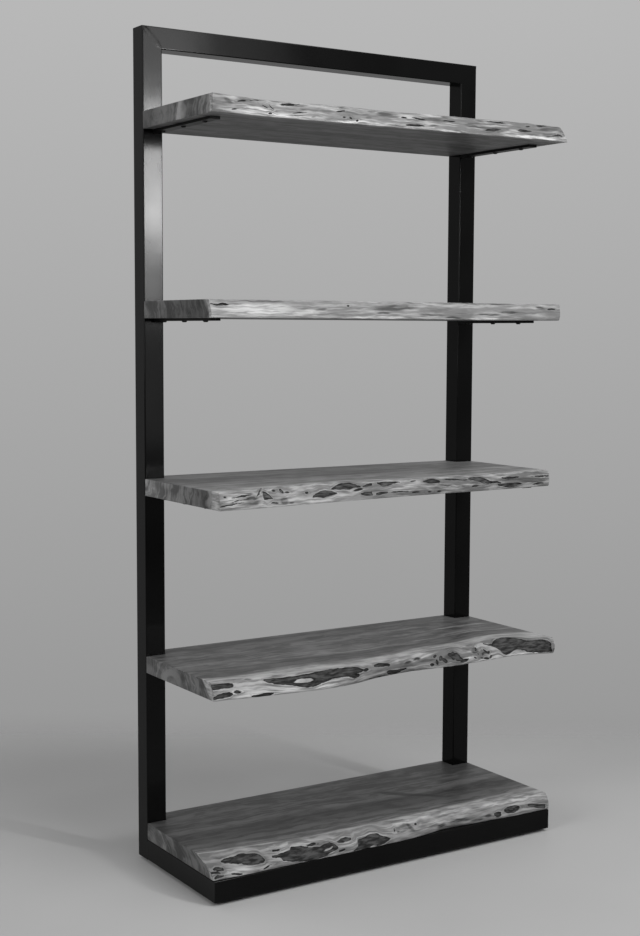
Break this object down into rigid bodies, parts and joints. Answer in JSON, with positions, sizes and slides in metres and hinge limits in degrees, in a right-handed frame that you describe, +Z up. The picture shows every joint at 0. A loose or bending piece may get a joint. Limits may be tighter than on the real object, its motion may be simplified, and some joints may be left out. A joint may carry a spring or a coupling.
{
  "type": "shelving unit",
  "caption": "Free-standing open shelving unit: a black welded square-tube frame carries thick wooden shelves with live front edges on flat-bar brackets.",
  "frame": {"origin": "on the floor, in the middle of the unit's plan", "axes": "+Z up, +X to the right seen from the front, -Y to the front"},
  "size_m": [0.965, 0.4103, 1.955],
  "materials": {
    "frame_paint": "black powder coat, semi-gloss",
    "shelf_wood": "oiled, live front edge",
    "black_screw": "black oxide",
    "plain_steel": "zinc plated",
    "pad_nylon": "moulded"
  },
  "bodies": {
    "unit": {"left_upright": "frame_paint", "right_upright": "frame_paint", "top_rail": "frame_paint", "base_left_rail": "frame_paint", "base_right_rail": "frame_paint", "base_front_rail": "frame_paint", "base_rear_rail": "frame_paint", "top_shelf": "shelf_wood", "upper_shelf": "shelf_wood", "middle_shelf": "shelf_wood", "lower_shelf": "shelf_wood", "base_shelf": "shelf_wood", "top_shelf_left_bracket": "frame_paint", "top_shelf_right_bracket": "frame_paint", "upper_shelf_left_bracket": "frame_paint", "upper_shelf_right_bracket": "frame_paint", "middle_shelf_left_bracket": "frame_paint", "middle_shelf_right_bracket": "frame_paint", "lower_shelf_left_bracket": "frame_paint", "lower_shelf_right_bracket": "frame_paint", "base_left_rear_tab": "frame_paint", "base_left_front_tab": "frame_paint", "base_right_rear_tab": "frame_paint", "base_right_front_tab": "frame_paint", "top_shelf_screws": "black_screw", "upper_shelf_screws": "black_screw", "middle_shelf_screws": "black_screw", "lower_shelf_screws": "black_screw", "base_shelf_screws": "black_screw", "left_foot_plug": "plain_steel", "right_foot_plug": "plain_steel", "left_weld_nut": "plain_steel", "right_weld_nut": "plain_steel"},
    "rear_left_pad": {"rear_left_glide_pad": "pad_nylon"},
    "rear_left_stem": {"rear_left_glide_stem": "plain_steel"},
    "rear_right_pad": {"rear_right_glide_pad": "pad_nylon"},
    "rear_right_stem": {"rear_right_glide_stem": "plain_steel"},
    "front_left_pad": {"front_left_glide_pad": "pad_nylon"},
    "front_left_stem": {"front_left_glide_stem": "plain_steel"},
    "front_right_pad": {"front_right_glide_pad": "pad_nylon"},
    "front_right_stem": {"front_right_glide_stem": "plain_steel"}
  },
  "joints": [
    {"name": "rear_left_glide_drop", "type": "slide", "parent": "unit", "child": "rear_left_pad", "axis": [0, 0, -1], "range_m": [0, 0.012]},
    {"name": "rear_left_stem_turn", "type": "hinge", "parent": "rear_left_pad", "child": "rear_left_stem", "pos_m": [-0.4575, 0.18, 0.007], "axis": [0, 0, -1], "range_deg": [0, 3457]},
    {"name": "rear_right_glide_drop", "type": "slide", "parent": "unit", "child": "rear_right_pad", "axis": [0, 0, -1], "range_m": [0, 0.012]},
    {"name": "rear_right_stem_turn", "type": "hinge", "parent": "rear_right_pad", "child": "rear_right_stem", "pos_m": [0.4575, 0.18, 0.007], "axis": [0, 0, -1], "range_deg": [0, 3457]},
    {"name": "front_left_glide_drop", "type": "slide", "parent": "unit", "child": "front_left_pad", "axis": [0, 0, -1], "range_m": [0, 0.012]},
    {"name": "front_left_stem_turn", "type": "hinge", "parent": "front_left_pad", "child": "front_left_stem", "pos_m": [-0.4075, -0.151, 0.007], "axis": [0, 0, -1], "range_deg": [0, 3457]},
    {"name": "front_right_glide_drop", "type": "slide", "parent": "unit", "child": "front_right_pad", "axis": [0, 0, -1], "range_m": [0, 0.012]},
    {"name": "front_right_stem_turn", "type": "hinge", "parent": "front_right_pad", "child": "front_right_stem", "pos_m": [0.4075, -0.151, 0.007], "axis": [0, 0, -1], "range_deg": [0, 3457]}
  ],
  "couplings": [
    {"joint": "rear_left_stem_turn", "follows": "rear_left_glide_drop", "rad_per_m": 5026.5},
    {"joint": "rear_right_stem_turn", "follows": "rear_right_glide_drop", "rad_per_m": 5026.5},
    {"joint": "front_left_stem_turn", "follows": "front_left_glide_drop", "rad_per_m": 5026.5},
    {"joint": "front_right_stem_turn", "follows": "front_right_glide_drop", "rad_per_m": 5026.5}
  ]
}
